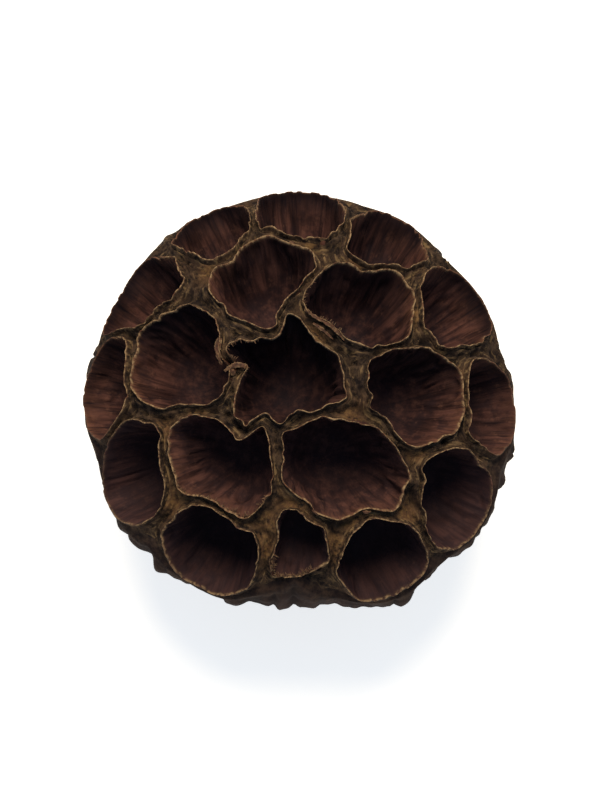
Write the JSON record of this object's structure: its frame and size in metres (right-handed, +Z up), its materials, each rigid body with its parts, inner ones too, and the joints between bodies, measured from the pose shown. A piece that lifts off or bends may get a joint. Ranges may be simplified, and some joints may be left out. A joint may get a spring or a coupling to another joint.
{
  "type": "dried lotus pod",
  "caption": "Dried lotus seed pod: a domed face of empty open seed cells with thin lips, over a wrinkled cup that tapers to a flat cut where the stem was taken off.",
  "frame": {"origin": "middle of the flat cut under the pod, where the stem was taken off", "axes": "+Z points up out of the domed face along the pod's axis; +Y points to the side of the face that is at the top of the picture; +X points to its right"},
  "size_m": [0.0887, 0.0886, 0.0618],
  "materials": {
    "pod_skin": "matte",
    "cell_lining": "satin",
    "pith": "matte"
  },
  "bodies": {
    "root": {"lotus_pod": "pod_skin"}
  },
  "joints": []
}
